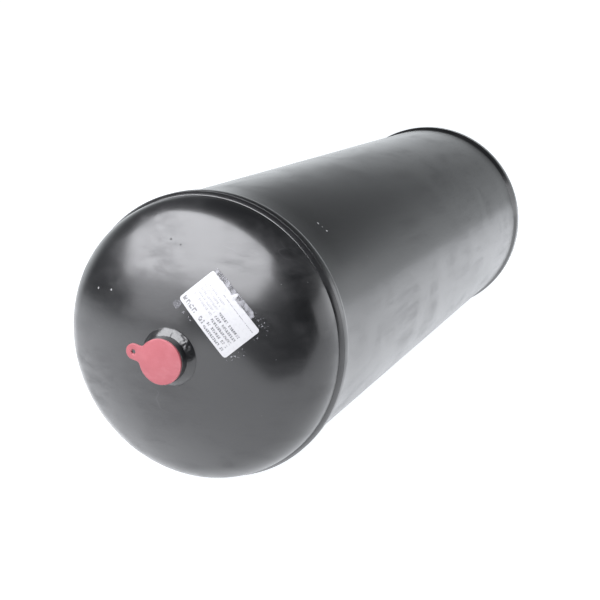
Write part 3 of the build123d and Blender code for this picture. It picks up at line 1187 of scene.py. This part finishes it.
def on_dome(across, up, above):
    """The point of the front dome under a point of the label's flat drawing, raised by above."""
    drop = sqrt(crown_radius ** 2 - across ** 2 - up ** 2)
    place = reading * across + upwards * up + label_normal * drop
    return crown_middle + place * (crown_radius + above) / crown_radius


print("label leans", round(math.degrees(label_lean), 1), "degrees off the dome's axis")

# %% [markdown]
# A fine grid is made for the sheet, its corners are pulled round, and it is stuck on the dome. It
# keeps the grid's UV map, which the greeked print needs. A torn scrap stands out of its upper
# edge, and it has small bubbles under it.

# %% Label sheet
tear_at = -0.0026
tear_reach = 0.0034
tear_lift = 0.0009


def cut_label(place):
    """Round the corners, pull the torn scrap out, and stick the sheet on the dome."""
    x, y = place.x * label_width, place.y * label_height
    over = Vector((abs(x) - label_width / 2 + label_corner, abs(y) - label_height / 2 + label_corner))
    if min(over) > 0:
        pulled = over * max(over) / over.length
        x -= math.copysign(over.x - pulled.x, x)
        y -= math.copysign(over.y - pulled.y, y)
    tear = min(1.0, max(0.0, 2.2 - abs(x - tear_at) / 0.0007)) * max(0.0, (place.y - 0.42) / 0.08)
    bubbles = 0.00004 * (1 + waves(x * 300, y * 300, 4.0))
    lifted = 0.0005 * max(0.0, waves(x * 90, y * 90, 1.0)) * max(0.0, place.y) ** 2 * 4
    above = stuck_gap + label_thickness + bubbles + lifted + tear_lift * tear
    return on_dome(x, y + tear_reach * tear, above)


deselect()
bpy.ops.mesh.primitive_grid_add(x_subdivisions=120, y_subdivisions=72, size=1)
label = name_new("data_sticker")
move_points(label, cut_label)
print("label faces the dome's outside:", label.data.polygons[0].normal.dot(label_normal) > 0)
apply_modifier(label, "SOLIDIFY", thickness=label_thickness, offset=-1)
finish_piece(label, [label_paper], "tank", "label_paper", "data_label")

# %% [markdown]
# A strip of clear film shows beyond the label's upper edge. It has come loose and creased, so it
# stands off the dome in folds.

# %% Film strip
film_top = (  # share along the label, reach beyond it
    (-0.49, 0.0030), (-0.30, 0.0040), (-0.06, 0.0044), (0.25, 0.0049), (0.31, 0.0030),
)
crumpled_part = 0.001  # how far the crumpled part of the film reaches past the label's middle
film_overlap = 0.0006  # how much of the film lies on the label


def film_edge(across):
    """How far the film reaches beyond the label at a place along it."""
    for (start, low), (end, high) in zip(film_top, film_top[1:]):
        if across <= end:
            return low + (high - low) * (across - start) / (end - start)
    return film_top[-1][1]


def cut_film(place):
    """Lay the strip along the label's upper edge and crease it."""
    across = film_top[0][0] + (place.x + 0.5) * (film_top[-1][0] - film_top[0][0])
    up = (place.y + 0.5) * film_edge(across)
    x, y = across * label_width, label_height / 2 - film_overlap + up
    fold = waves(x * 330, y * 200, 8.0)
    fold += 0.4 * waves(x * 700, y * 420, 2.0)
    loose = min(1.0, max(0.15, (crumpled_part - x) / 0.004))
    return on_dome(x, y, 0.0003 + 0.00016 * loose * (fold + 0.6) * (0.4 + place.y + 0.5))


deselect()
bpy.ops.mesh.primitive_grid_add(x_subdivisions=150, y_subdivisions=24, size=1)
film = name_new("film_strip")
move_points(film, cut_film)
print("film strip:", len(film.data.vertices), "vertices")

# %% [markdown]
# Small scraps of the same film are left round the label where it was rubbed down: one large scrap
# by its lower left corner, and scattered flecks along three edges. They are flat discs on the
# label's drawing, torn into ragged shapes and joined to the strip.

# %% Film scraps
luck = random.Random(4)
scraps = [  # along the label, up it, size
    (-0.0229, -0.0186, 0.0030), (0.0190, 0.0188, 0.0007), (0.0219, 0.0167, 0.0006),
]
fleck_fields = (  # how many flecks, and the edges of the field that they lie in
    (9, -0.018, -0.008, -0.0190, -0.0168), (20, 0.014, 0.030, 0.0165, 0.0215),
    (16, 0.0268, 0.031, -0.016, 0.012),
)
for count, left, right, bottom, top in fleck_fields:
    for _ in range(count):
        along, up = luck.uniform(left, right), luck.uniform(bottom, top)
        scraps.append((along, up, luck.uniform(0.0002, 0.0005)))


def shake(place, size):
    """Three smooth random values at a place, one for each direction."""
    x, y = place.x * size, place.y * size
    return Vector([waves(x, y, layer) for layer in (0.5, 20.5, 40.5)])


def torn(place):
    """Tear a scrap's outline and lay it on the dome."""
    shift = shake(place, 900) * 0.0005 + shake(place, 350) * 0.0012
    return on_dome(place.x + shift.x, place.y + shift.y, 0.0002 + 0.1 * abs(shift.z))


def add_disc(along, up, size):
    """A flat disc on the label's drawing."""
    place = (along, up, 0)
    bpy.ops.mesh.primitive_circle_add(vertices=12, radius=size, fill_type="TRIFAN", location=place)


deselect()
add_disc(0.024, 0.018, 0.0001)
flecks = name_new("scraps")
open_piece(flecks)
for scrap in scraps:
    add_disc(*scrap)
close_piece()
move_points(flecks, torn)
make_active(film)
flecks.select_set(True)
bpy.ops.object.join()
apply_modifier(film, "SOLIDIFY", thickness=0.00008, offset=-1)
print("scraps:", len(scraps))
finish_piece(film, [clear_film], "tank", "label_film", "label_film")
